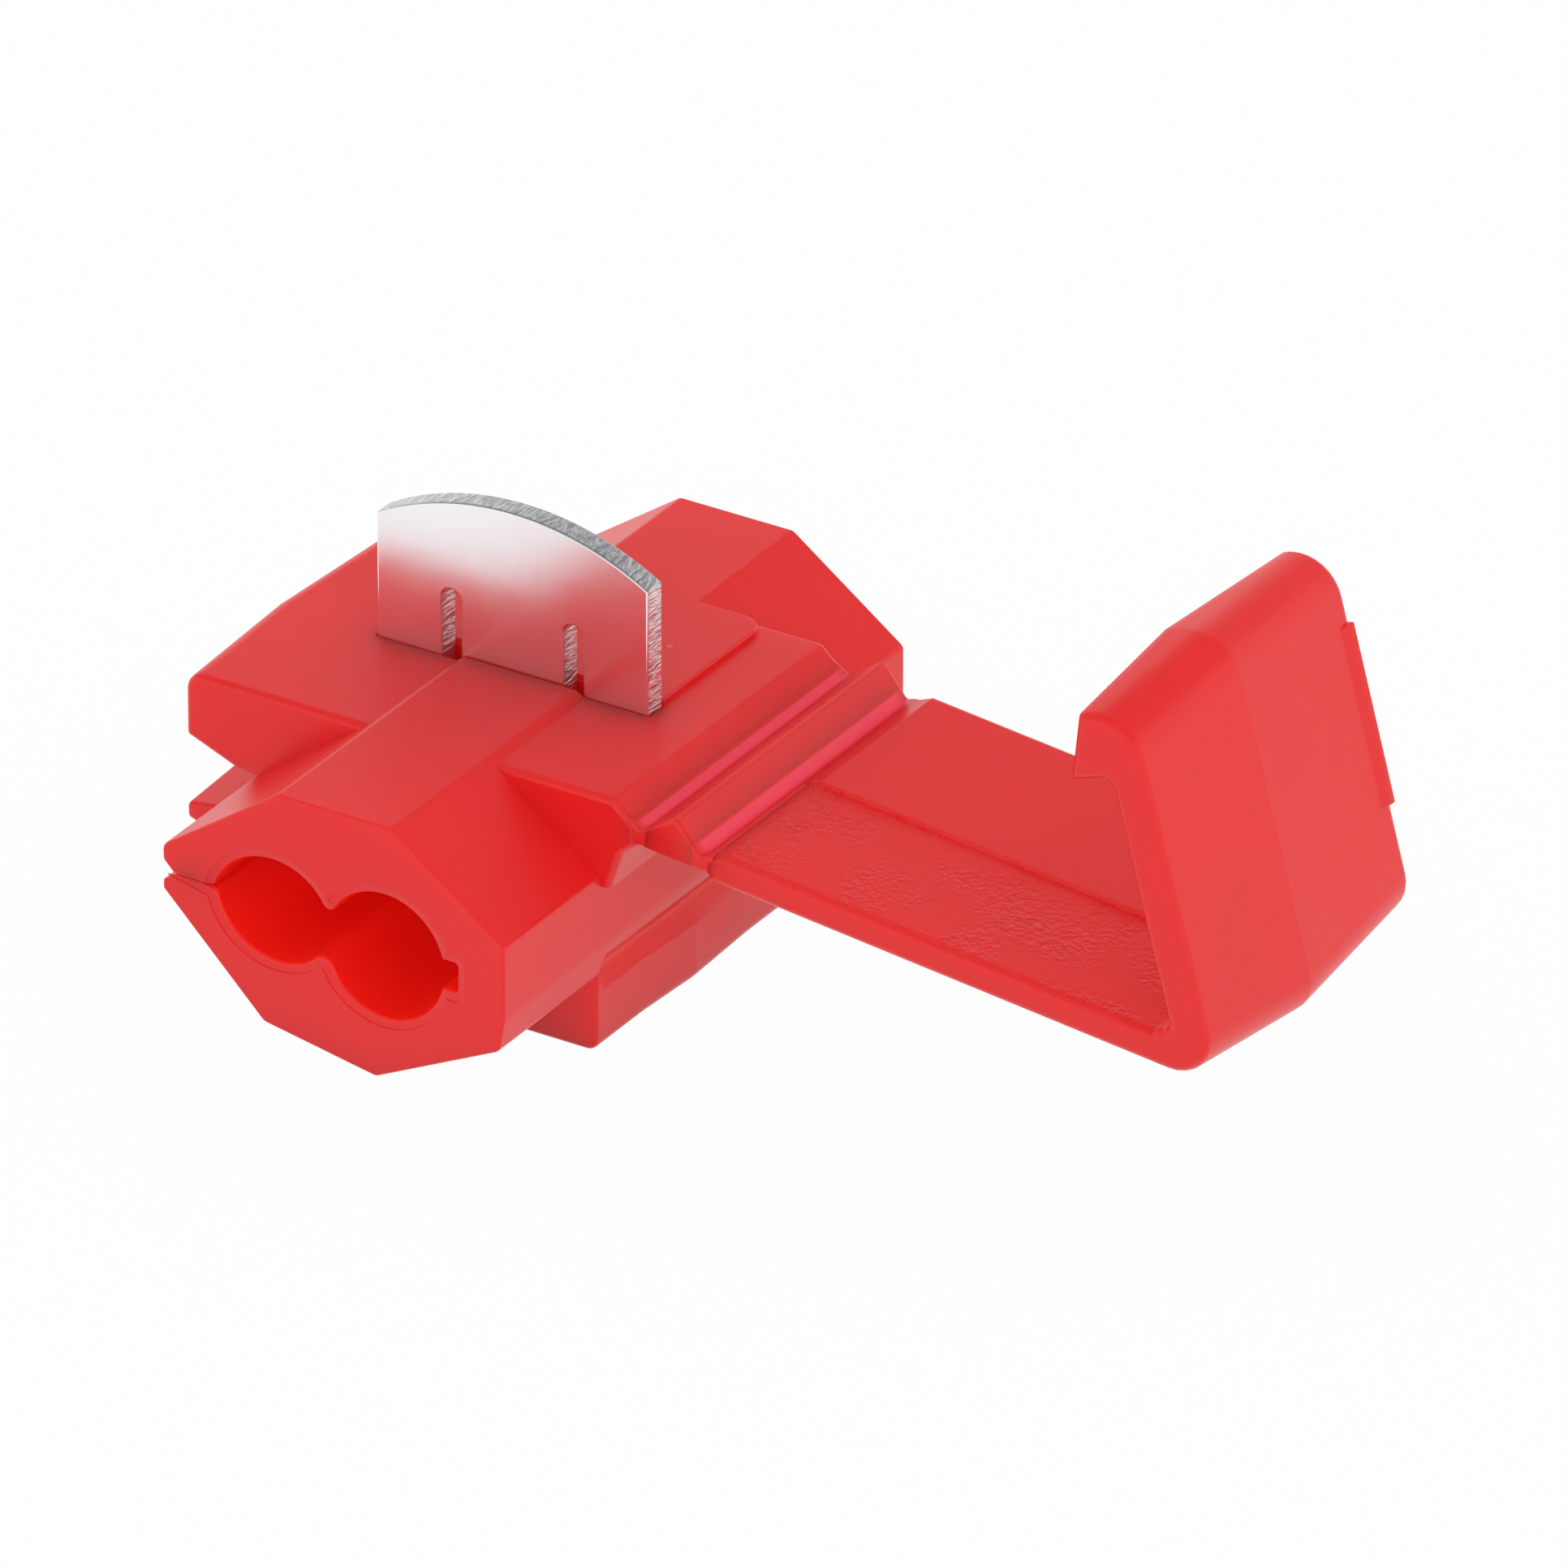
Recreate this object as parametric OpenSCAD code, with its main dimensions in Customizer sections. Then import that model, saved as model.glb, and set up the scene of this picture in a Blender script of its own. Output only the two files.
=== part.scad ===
// Run-and-tap wire splice: moulded housing with two wire channels, a pressed contact plate
// and an L-shaped latch cover on a double living hinge. Open, as moulded. Millimetres.
// X runs across the wires, Y along them, Z up. Z = 0 is the flat base, X = 0 the sleeve's middle.

/* [Housing sleeve] */
// Overall length of the housing along the wires
housing_len = 20; // [16:0.5:26]
// Half width of the eight-sided sleeve on the hinge side
sleeve_half_w = 5.32; // [5:0.02:5.6]
// Half width of the sleeve on the side of the wire mouth
mouth_half_w = 5.46; // [5.3:0.02:5.7]
// Half height of the sleeve
sleeve_half_h = 4.15; // [3.9:0.05:4.6]
// Half width of the flat on top of the sleeve
sleeve_flat_half = 1.8; // [1.2:0.1:2.6]
// Height of the sleeve's side corners above the middle plane
sleeve_corner_h = 1.6; // [1.3:0.05:2]
// Height of the middle plane above the base
mid_height = 3.85; // [3.7:0.05:4.4]

// Offset of the mould's parting plane towards the front
parting_y = 0.45; // [0:0.05:0.8]
// Moulding draft from the parting plane to both ends, in degrees
draft = 3; // [0:0.5:4]

/* [Lower jaw] */
// Angle by which the lower jaw is drawn shut
jaw_tilt = 10; // [7:0.5:12]
// Drop of the jaw's flex line below the middle plane, in the hinge-side wall
flex_drop = 0.6; // [0.3:0.1:1]

/* [Wire channels] */
// Radius of the tap wire's bore
tap_r = 1.85; // [1.6:0.05:1.95]
// Distance of the tap bore from the sleeve's middle
tap_x = 1.5; // [1.3:0.05:1.7]
// Height of the tap bore above the middle plane
tap_h = 0.2; // [0:0.05:0.4]
// Radius of the run wire's channel
run_r = 1.93; // [1.7:0.01:2]
// Distance of the run channel from the sleeve's middle
run_x = 2.05; // [1.9:0.05:2.2]
// Height of the run channel's upper wall centre above the middle plane
run_h = 0.15; // [0:0.05:0.3]
// Height of the run channel's lower wall centre above its upper one
jaw_close = 0.85; // [0.4:0.05:1]
// Depth and width of the lead-in round each channel's mouth
lead_in = 0.3; // [0.1:0.05:0.4]
// Height of the relief groove in the tap bore's outer wall
relief_h = 0.85; // [0.5:0.05:1.2]
// Depth of the relief groove
relief_depth = 0.45; // [0.2:0.05:0.6]

/* [Wire mouth] */
// Gap between the two lips at their closest
lip_gap = 0.12; // [0.06:0.02:0.4]
// Distance of the closest point of the lips from the sleeve's middle
lip_x = 4.85; // [4.6:0.05:5]
// Height of the lips above the middle plane
lip_h = 0.78; // [0.6:0.02:0.9]
// Opening between the lips at the sleeve's side
mouth_open = 0.72; // [0.4:0.02:0.9]
// Height of the upper wing's lower edge above the middle plane
wing_under_h = 2.06; // [1.8:0.02:2.4]
// Height of the lower wing's upper edge above the middle plane
wing_lower_h = 0; // [-0.2:0.05:0.2]

/* [Block] */
// Length of the central block along the wires
block_len = 10.5; // [9:0.25:12]
// Reach of both wings from the sleeve's middle, at the parting plane
wing_reach = 8.1; // [7.8:0.05:8.4]
// Radius of the upper wing's top edge
wing_round = 0.5; // [0.2:0.05:0.7]
// Drop of the block's top below the sleeve's top
shelf_drop = 0.17; // [0.08:0.01:0.3]
// Thickness of the lower wing at its tip
wing_lower_t = 0.45; // [0.3:0.05:0.7]
// Length of the catch ledge under the lower wing
catch_depth = 1.55; // [1.2:0.05:1.8]
// Reach of the foot flange from the sleeve's middle
foot_reach = 5.25; // [5:0.05:5.5]
// Height of the foot flange above the base
foot_h = 1.63; // [1.4:0.01:2]
// Bevel along the foot's lower edges
foot_bevel = 0.3; // [0.1:0.05:0.5]
// Reach of the wall under the hinge shelf
shelf_wall_reach = 5.75; // [5.6:0.05:5.9]
// Radius of the raised pad's free corner
pad_round = 0.7; // [0.3:0.1:1.2]

/* [Contact plate] */
// Width of the plate across the wires
plate_w = 8.6; // [8.2:0.1:9]
// Thickness of the plate
plate_t = 0.7; // [0.5:0.05:0.9]
// Offset of the plate's middle from the sleeve's middle, towards the wings
plate_x = 0.3; // [0.1:0.05:0.5]
// Height of the plate's ends above the block's top
plate_end_h = 3.6; // [3:0.1:4]
// Rise of the plate's arched top above its ends
plate_crown = 1.17; // [0.6:0.01:1.5]
// Distance between the two wire slots
slot_pitch = 3.86; // [3.6:0.02:4]
// Width of the wire slots
slot_w = 0.7; // [0.4:0.05:0.9]
// Height of the slots' round ends above the block's top
slot_top_h = 2.05; // [1.6:0.05:2.4]
// Clear height between the channels and the raised plate's tines
tine_lift = 0.2; // [0.1:0.05:0.3]
// Clearance round the plate in its slot
plate_clear = 0.03; // [0.02:0.01:0.08]
// Travel of the plate from raised to pressed home
plate_travel = 4.5; // [3.5:0.1:4.6]
// Clear depth under the tines of the pressed plate
slot_floor_clear = 0.15; // [0.1:0.05:0.4]

/* [Double hinge] */
// Distance of the first fold from the sleeve's middle
fold_x = 6.53; // [6.4:0.01:6.8]
// Depth of the first fold's groove below the block's top
fold_depth = 0.73; // [0.6:0.01:0.9]
// Distance between the two folds
link_len = 1.87; // [1.7:0.01:2.2]
// Angle at which the link and the cover fall away from the housing
cover_fall = 6; // [3:0.5:8]
// Height of the link's ridge above its folds
ridge_h = 0.78; // [0.5:0.02:0.95]
// Distance of the ridge from the first fold
ridge_x = 1.05; // [0.9:0.05:1.1]
// Width of the ridge's flat top
ridge_flat = 0.12; // [0.06:0.02:0.2]
// Thickness of the web left under each groove
web_t = 0.48; // [0.35:0.01:0.55]
// Width of the housing's top that slopes into the first groove
groove_run = 0.84; // [0.6:0.02:1]
// Play between the pieces in each fold
fold_play = 0.02; // [0.01:0.01:0.04]

/* [Latch cover] */
// Length of the cover's panel from its fold to the leg's inner face
panel_len = 14.6; // [13.5:0.1:15.5]
// Height of the panel's inner face above its fold
panel_rise = 0.41; // [0.3:0.01:0.5]
// Thickness of the panel
panel_t = 1.02; // [0.9:0.02:1.3]
// Depth of the recess in the front half of the panel
recess_depth = 0.12; // [0.06:0.02:0.2]
// Width of the ledge between the recess and the leg
recess_ledge = 0.45; // [0.2:0.05:0.8]
// Angle by which the leg leans in over the panel
leg_lean = 21; // [15:0.5:24]
// Thickness of the leg
leg_t = 1.08; // [0.9:0.02:1.3]
// Length of the leg from the panel's inner face to the hook's catch
catch_len = 7.3; // [6.8:0.1:7.8]
// Reach of the hook in from the catch's inner corner
hook_reach = 1.14; // [0.8:0.02:1.4]
// Height of the hook's nose
hook_h = 1.8; // [1.5:0.05:2.2]
// Drop of the hook's catch face from its inner corner to its nose
hook_drop = 0.26; // [0.1:0.02:0.4]
// Outer radius of the corner between panel and leg
corner_r = 1.1; // [0.6:0.1:1.6]
// Radius of the leg's outer top edge
leg_top_r = 0.95; // [0.5:0.05:1.2]
// Height of the raised strip on the leg's outer face
strip_t = 0.14; // [0.08:0.02:0.2]
// Width of the raised strip along the wires
strip_w = 1.2; // [0.8:0.1:2]
// Length of the raised strip
strip_len = 5.2; // [4:0.1:6]

/* [Hidden] */
$fn = 96;

plastic = [0.86, 0.13, 0.11];
plated_steel = [0.78, 0.78, 0.8];

// How far a cutting shape runs past what it cuts
over = 1;
// Number of straight steps in a rounded profile corner
arc_steps = 8;
// Thickness of the slices between which drafted shapes are drawn
slice_t = 0.02;

shelf_h = sleeve_half_h - shelf_drop;
front_half = block_len / 2 - parting_y;
rear_half = block_len / 2 + parting_y;
catch_x = wing_reach - catch_depth;
fold_h = shelf_h - fold_depth;
fold = [fold_x, fold_h];
link_end = [fold_x + link_len * cos(cover_fall), fold_h - link_len * sin(cover_fall)];
tine_h = max(run_r + run_h, tap_r + tap_h) + tine_lift;
plate_end_top = shelf_h + plate_end_h;
crown_r = (pow(plate_w / 2, 2) + pow(plate_crown, 2)) / (2 * plate_crown);
slot_floor_h = tine_h - plate_travel - slot_floor_clear;

// Points of an arc about a centre, from one angle to another
function arc(centre, radius, from, to) =
    [for (i = [0:arc_steps]) let (a = from + (to - from) * i / arc_steps)
        centre + radius * [cos(a), sin(a)]];

// A profile in X and height above the middle plane, drawn out along the wires
module along_wires(length) {
    translate([0, 0, mid_height])
        rotate([90, 0, 0])
            linear_extrude(height = length, center = true)
                children();
}

// A round rod along the wires
module rod(radius, x, height, length) {
    translate([x, 0, mid_height + height])
        rotate([90, 0, 0])
            cylinder(r = radius, h = length, center = true);
}

// Upper part of the eight-sided sleeve, down to the flex line and the upper lip
module sleeve_upper_profile() {
    polygon([
        [sleeve_half_w, -flex_drop],
        [sleeve_half_w, sleeve_corner_h],
        [sleeve_flat_half, sleeve_half_h],
        [-sleeve_flat_half, sleeve_half_h],
        [-mouth_half_w, sleeve_corner_h],
        [-mouth_half_w, lip_h]
    ]);
}

// Lower part of the sleeve, turned about the flex line to its drawn-shut place
module sleeve_lower_profile() {
    translate([sleeve_half_w, -flex_drop])
        rotate(-jaw_tilt)
            translate([-sleeve_half_w, flex_drop])
                polygon([
                    [-mouth_half_w, -flex_drop],
                    [-mouth_half_w, -sleeve_corner_h],
                    [-sleeve_flat_half, -sleeve_half_h],
                    [sleeve_flat_half, -sleeve_half_h],
                    [sleeve_half_w, -sleeve_corner_h],
                    [sleeve_half_w, -flex_drop]
                ]);
}

// Top of the block and the shelf that ends in the first fold
module block_upper_profile() {
    polygon([
        [-mouth_half_w, lip_h],
        [-mouth_half_w, shelf_h],
        [fold_x - groove_run, shelf_h],
        [fold_x - fold_play, fold_h],
        [fold_x - fold_play - web_t * tan(cover_fall), fold_h - web_t],
        [shelf_wall_reach, fold_h - web_t - (fold_x - shelf_wall_reach) / 3],
        [shelf_wall_reach, sleeve_corner_h - shelf_drop],
        [sleeve_half_w, sleeve_corner_h - shelf_drop],
        [sleeve_flat_half, lip_h]
    ]);
}

// Side view of the upper wing, down to the middle of the wire mouth
function wing_outline(reach) = concat(
    [[-mouth_half_w, lip_h], [-reach, wing_under_h - over / 2]],
    arc([-reach + wing_round, shelf_h - wing_round], wing_round, 180, 90),
    [[-mouth_half_w, shelf_h]]
);

// Lower wing with its catch ledge, the jaw's outer wall, the flat base and the foot flange
module block_lower_profile() {
    foot_top = foot_h - mid_height;
    polygon([
        [foot_reach, foot_top],
        [foot_reach, -mid_height + foot_bevel],
        [foot_reach - foot_bevel, -mid_height],
        [-catch_x + 3 * foot_bevel, -mid_height],
        [-catch_x, -mid_height + 3 * foot_bevel],
        [-catch_x, wing_lower_h - 2 * wing_lower_t],
        [-wing_reach, wing_lower_h - wing_lower_t],
        [-wing_reach, wing_lower_h + over / 2],
        [-lip_x, lip_h],
        [0, foot_top]
    ]);
}

// Plan of the lower block: its wing reaches furthest at the parting plane
module block_plan() {
    translate([0, -parting_y, -over])
        linear_extrude(height = mid_height + wing_lower_h + 2 * over)
            polygon([
                [-wing_reach + front_half * tan(draft), -front_half],
                [-wing_reach, 0],
                [-wing_reach + rear_half * tan(draft), rear_half],
                [fold_x, rear_half],
                [fold_x, -front_half]
            ]);
}

// A thin slice of a side-view outline, across the wires at a distance from the parting plane
module slice_at(y) {
    translate([0, y - parting_y, 0])
        along_wires(slice_t)
            children();
}

// Upper wing, drafted from the parting plane to both ends
module upper_wing() {
    hull()
        for (end = [-front_half, 0, rear_half])
            slice_at(end)
                polygon(wing_outline(wing_reach - abs(end) * tan(draft)));
}

// Raised pad behind the plate, level with the sleeve's top, with one rounded corner
module rear_pad() {
    left = -plate_x - plate_w / 2;
    width = plate_w - pad_round;
    depth = block_len / 2 + parting_y - plate_t / 2;
    translate([left, -parting_y + plate_t / 2, mid_height + lip_h]) {
        cube([width, depth, sleeve_half_h - lip_h]);
        cube([plate_w, depth - pad_round, sleeve_half_h - lip_h]);
        translate([width, depth - pad_round, 0])
            cylinder(r = pad_round, h = sleeve_half_h - lip_h);
    }
}

// Mouth between the wings and the lips, where the run wire is laid in from the side
module wire_mouth() {
    slit_in = run_x + run_r - lead_in;
    mouth_h = lip_h - lip_gap / 2;
    along_wires(housing_len + 2 * over)
        polygon([
            [-slit_in, lip_h],
            [-slit_in - lead_in, lip_h + lip_gap / 2],
            [-lip_x, lip_h + lip_gap / 2],
            [-mouth_half_w, mouth_h + mouth_open / 2 + lip_gap],
            [-wing_reach, wing_under_h],
            [-wing_reach - over, wing_under_h + over / 2],
            [-wing_reach - over, wing_lower_h - over / 4],
            [-wing_reach, wing_lower_h],
            [-mouth_half_w, mouth_h - mouth_open / 2],
            [-lip_x, lip_h - lip_gap / 2],
            [-slit_in - lead_in, lip_h - lip_gap]
        ]);
}

// Channel of the run wire: the upper wall's round meets that of the closed jaw
module run_channel() {
    jaw_x = run_x - jaw_close * tan(jaw_tilt);
    intersection() {
        rod(run_r, -run_x, run_h, housing_len + 2 * over);
        rod(run_r, -jaw_x, run_h + jaw_close, housing_len + 2 * over);
    }
}

// Lead-in cone at the front or rear mouth of a round channel
module mouth_cone(radius, x, height, end) {
    translate([x, end * housing_len / 2, mid_height + height])
        rotate([-90 * end, 0, 0])
            translate([0, 0, -lead_in])
                cylinder(r1 = radius, r2 = radius + 2 * lead_in, h = 2 * lead_in);
}

// Bore of the tap wire with its relief groove and lead-ins
module tap_channel() {
    rod(tap_r, tap_x, tap_h, housing_len + 2 * over);
    translate([tap_x, -housing_len / 2 - over, mid_height + tap_h - relief_h / 2])
        cube([tap_r + relief_depth, housing_len + 2 * over, relief_h]);
    for (end = [-1, 1])
        mouth_cone(tap_r, tap_x, tap_h, end);
}

// Lead-ins of the run channel, shaped like the channel
module run_lead_ins() {
    jaw_x = run_x - jaw_close * tan(jaw_tilt);
    for (end = [-1, 1])
        intersection() {
            mouth_cone(run_r, -run_x, run_h, end);
            mouth_cone(run_r, -jaw_x, run_h + jaw_close, end);
        }
}

// Slot that guides the plate from the block's top down into the jaw
module plate_slot() {
    height = 2 * sleeve_half_h;
    translate([
        -plate_x - plate_w / 2 - plate_clear,
        -parting_y - plate_t / 2 - plate_clear,
        mid_height + slot_floor_h
    ])
        cube([plate_w + 2 * plate_clear, plate_t + 2 * plate_clear, height]);
}

module housing() {
    color(plastic)
        difference() {
            union() {
                along_wires(housing_len) sleeve_upper_profile();
                along_wires(housing_len) sleeve_lower_profile();
                along_wires(block_len) block_upper_profile();
                upper_wing();
                intersection() {
                    along_wires(block_len) block_lower_profile();
                    block_plan();
                }
                rear_pad();
            }
            wire_mouth();
            run_channel();
            run_lead_ins();
            tap_channel();
            plate_slot();
        }
}

// One wire slot of the plate: parallel cheeks, a round end and a flared entry
module wire_slot(x) {
    round_h = shelf_h + slot_top_h - slot_w / 2;
    along_wires(plate_t + 2 * over) {
        translate([x - slot_w / 2, tine_h - over])
            square([slot_w, round_h - tine_h + over]);
        polygon([
            [x - slot_w, tine_h - slot_w / 2],
            [x + slot_w, tine_h - slot_w / 2],
            [x, tine_h + slot_w * 1.5]
        ]);
    }
    rod(slot_w / 2, x, round_h, plate_t + 2 * over);
}

module contact_plate() {
    color(plated_steel)
        translate([0, -parting_y, 0])
            difference() {
                intersection() {
                    along_wires(plate_t)
                        translate([-plate_x - plate_w / 2, tine_h])
                            square([plate_w, plate_end_top + plate_crown - tine_h]);
                    rod(crown_r, -plate_x, plate_end_top + plate_crown - crown_r, plate_t);
                }
                for (side = [-1, 1])
                    wire_slot(-plate_x + side * slot_pitch / 2);
            }
}

// Ridge between the two folds
module hinge_link() {
    color(plastic)
        along_wires(block_len)
            translate(fold)
                rotate(-cover_fall)
                    polygon([
                        [fold_play, -web_t],
                        [fold_play, 0],
                        [ridge_x - ridge_flat / 2, ridge_h],
                        [ridge_x + ridge_flat / 2, ridge_h],
                        [link_len - fold_play, 0],
                        [link_len - fold_play, -web_t]
                    ]);
}

// The cover's own frame: the fold at the origin, the panel along X, its inner side up
leg_up = [-sin(leg_lean), cos(leg_lean)];
leg_out = [cos(leg_lean), sin(leg_lean)];
leg_root = [panel_len, panel_rise];
catch_corner = leg_root + catch_len * leg_up;
panel_under = panel_rise - panel_t;

// How far the outer faces stand out at a distance from the parting plane, none at the rear end
function outer_grow(y) = (rear_half - abs(y)) * tan(draft);

// Distance along the leg from its root to where its inner face meets a height
function leg_reach(height) = (height - panel_rise) / cos(leg_lean);

// Panel with the outer corner under the leg; grow is how far its outer faces stand out
function panel_outline(grow) =
    let (
        thick = leg_t + grow,
        low = panel_under - grow,
        outer_x = panel_len + thick / cos(leg_lean) - (low - panel_rise) * tan(leg_lean),
        centre = [outer_x - corner_r * tan(45 + leg_lean / 2), low + corner_r]
    )
    concat(
        [[fold_play, -web_t], [fold_play, 0], [fold_play + 2 * panel_rise, panel_rise], leg_root],
        [leg_root + thick * leg_out],
        arc(centre, corner_r, leg_lean, -90),
        [[fold_play + web_t, low]]
    );

// Leg with its rounded outer top edge
function leg_outline(grow) =
    let (
        top_h = catch_corner[1] - hook_drop + hook_h + grow,
        inner_top = leg_root + leg_reach(top_h) * leg_up,
        outer_top = inner_top + (leg_t + grow) * [1 / cos(leg_lean), 0],
        centre = outer_top - leg_top_r * [tan(45 - leg_lean / 2), 1]
    )
    concat(
        [leg_root - leg_t / 2 * leg_up, inner_top],
        arc(centre, leg_top_r, 90, leg_lean),
        [leg_root + (leg_t + grow) * leg_out - leg_t / 2 * leg_up]
    );

// Hook: a raked catch face and an upright nose
function hook_outline(grow) =
    let (
        nose = catch_corner - [hook_reach + grow, hook_drop],
        inside = catch_corner + leg_t / 2 * leg_out
    )
    [
        nose,
        nose + [0, hook_h],
        nose + [hook_drop, hook_h + grow],
        nose + [hook_reach + grow, hook_h + grow],
        inside,
        catch_corner
    ];

// A slice of the cover at a distance from the parting plane, laid in its place beside the folds
module cover_slice(y) {
    slice_at(y)
        translate(link_end)
            rotate(-cover_fall)
                children();
}

// Recess in the front half of the panel's inner face, with a bevelled end before the leg
module recess() {
    end = panel_len - recess_ledge;
    translate([0, -parting_y - (front_half + over) / 2, 0])
        along_wires(front_half + over)
            translate(link_end)
                rotate(-cover_fall)
                    polygon([
                        [fold_play + 2 * (panel_rise - recess_depth), panel_rise - recess_depth],
                        [end, panel_rise - recess_depth],
                        [end + recess_depth + over, panel_rise + over],
                        [fold_play + 2 * (panel_rise + over), panel_rise + over]
                    ]);
}

// Raised strip on the rear edge of the leg's outer face
module leg_strip() {
    start = leg_root + (leg_t - strip_t) * leg_out + (catch_len - strip_len) * leg_up;
    translate([0, (block_len - strip_w) / 2, 0])
        along_wires(strip_w)
            translate(link_end)
                rotate(-cover_fall)
                    polygon([
                        start,
                        start + 2 * strip_t * leg_out,
                        start + 2 * strip_t * leg_out + strip_len * leg_up,
                        start + strip_len * leg_up
                    ]);
}

module cover() {
    color(plastic)
        difference() {
            union() {
                hull()
                    for (end = [-front_half, 0, rear_half])
                        cover_slice(end) polygon(panel_outline(outer_grow(end)));
                hull()
                    for (end = [-front_half, 0, rear_half])
                        cover_slice(end) polygon(leg_outline(outer_grow(end)));
                hull()
                    for (end = [-front_half, 0, rear_half])
                        cover_slice(end) polygon(hook_outline(outer_grow(end)));
                leg_strip();
            }
            recess();
        }
}

housing();
contact_plate();
hinge_link();
cover();
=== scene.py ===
import math

import bmesh
import bpy
import numpy as np
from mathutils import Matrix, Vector


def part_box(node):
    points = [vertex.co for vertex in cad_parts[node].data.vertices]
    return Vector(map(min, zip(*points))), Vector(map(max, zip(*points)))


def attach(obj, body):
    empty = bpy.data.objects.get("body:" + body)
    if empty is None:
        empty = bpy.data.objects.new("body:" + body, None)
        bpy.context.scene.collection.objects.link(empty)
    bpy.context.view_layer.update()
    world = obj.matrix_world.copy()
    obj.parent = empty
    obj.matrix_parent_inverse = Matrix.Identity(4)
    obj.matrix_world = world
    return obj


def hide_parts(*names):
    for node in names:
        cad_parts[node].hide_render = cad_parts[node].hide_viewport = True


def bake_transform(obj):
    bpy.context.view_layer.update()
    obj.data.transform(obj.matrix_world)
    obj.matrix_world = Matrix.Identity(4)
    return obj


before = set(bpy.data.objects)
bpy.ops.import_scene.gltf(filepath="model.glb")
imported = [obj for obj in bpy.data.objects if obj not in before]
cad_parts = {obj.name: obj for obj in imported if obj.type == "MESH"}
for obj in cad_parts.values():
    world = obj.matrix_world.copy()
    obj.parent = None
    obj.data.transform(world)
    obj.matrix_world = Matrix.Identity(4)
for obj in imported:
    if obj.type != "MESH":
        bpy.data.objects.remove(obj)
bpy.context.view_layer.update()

bl_info = {
    "name": "Run-and-tap wire splice",
    "version": (1, 0, 0),
    "blender": (4, 5, 0),
    "location": "3D View > Sidebar > Wire Splice",
    "description": "Dresses the CAD frame of a moulded wire splice with its finished surfaces",
    "category": "Object",
}

# Shapes are worked out in millimetres: x across the wires, y along them, h above the middle plane.
MM = 0.001
MID = 3.85
PARTING_Y = -0.45
DRAFT = math.tan(math.radians(3))
FOLD = np.array([6.53, 3.25])
FALL = math.radians(6)
LINK_LEN = 1.87
SECOND_FOLD = FOLD + LINK_LEN * np.array([math.cos(FALL), -math.sin(FALL)])
SHELF_H = 3.98


# ---- outlines ----

def turned(points, angle, about=(0.0, 0.0)):
    """Points turned in their plane: x' = x cos a - h sin a and h' = x sin a + h cos a, about a centre."""
    c, s = math.cos(angle), math.sin(angle)
    p = np.asarray(points, float) - about
    return p @ np.array([[c, s], [-s, c]]) + about


def arc_corners(centre, radius, start, end, parts):
    """Corners that rounding by the same radius turns into an arc: where the tangents of its equal parts meet,
    at radius / cos(half a part) from the centre."""
    a = np.radians(np.linspace(start, end, parts + 1))
    far = radius / math.cos(abs(a[1] - a[0]) / 2)
    mid = (a[1:] + a[:-1]) / 2
    return np.asarray(centre) + far * np.stack([np.cos(mid), np.sin(mid)], -1)


def rounded(corners, radii, steps=7):
    """Closed outline, counterclockwise, with its corners rounded.
    A corner of half angle b becomes an arc of radius r about the point r / sin b along its bisector. The arc
    starts r / tan b before the corner, turns by 180 degrees less 2 b, and shrinks where a side is too short."""
    p = np.asarray(corners, float)
    back, on = np.roll(p, 1, -2) - p, np.roll(p, -1, -2) - p
    side = np.linalg.norm(on, axis=-1)
    u = back / np.linalg.norm(back, axis=-1, keepdims=True)
    v = on / side[..., None]
    half = np.arccos(np.clip((u * v).sum(-1), -1, 1)) / 2
    half = np.minimum(half, math.radians(89.9))
    reach = np.broadcast_to(np.asarray(radii, float), half.shape) / np.tan(half)
    share = side / np.maximum(reach + np.roll(reach, -1, -1), side)
    reach = reach * np.minimum(share, np.roll(share, 1, -1))
    radius = reach * np.tan(half)
    bend = -np.sign(u[..., 0] * v[..., 1] - u[..., 1] * v[..., 0])
    bend = np.where(bend == 0, 1.0, bend)
    first = np.arctan2(-u[..., 0], u[..., 1]) + np.where(bend > 0, math.pi, 0.0)
    k = np.linspace(0, 1, steps)
    angle = first[..., None] + (bend * (math.pi - 2 * half))[..., None] * k
    ray = np.stack([np.cos(angle), np.sin(angle)], -1)
    centre = (p + u * reach[..., None])[..., None, :] - radius[..., None, None] * ray[..., :1, :]
    return (centre + radius[..., None, None] * ray).reshape(p.shape[:-2] + (-1, 2))


def drawn_in(corners, radii, inset):
    """Corners and radii of an outline whose sides each lie an inset further in. With the outward normals n and m
    of a corner's two sides, it moves by (a (n - k m) + b (m - k n)) / (1 - k^2), k = n . m, and its radius
    shrinks by the inset where it is convex and grows where it is hollow."""
    p = np.broadcast_to(corners, inset.shape + (2,))
    on = np.roll(p, -1, -2) - p
    on = on / np.linalg.norm(on, axis=-1, keepdims=True)
    after = np.stack([on[..., 1], -on[..., 0]], -1)
    before = np.roll(after, 1, -2)
    a, b = np.roll(inset, 1, -1)[..., None], inset[..., None]
    k = (after * before).sum(-1, keepdims=True)
    mitre = (a * (before - k * after) + b * (after - k * before)) / np.maximum(1 - k * k, 1e-3)
    move = np.where(k > 0.999, after * (a + b) / 2, mitre)
    turn = np.sign(before[..., 0] * after[..., 1] - before[..., 1] * after[..., 0])
    return p - move, np.maximum(np.asarray(radii) - turn * (a + b)[..., 0] / 2, 0.0)


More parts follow.
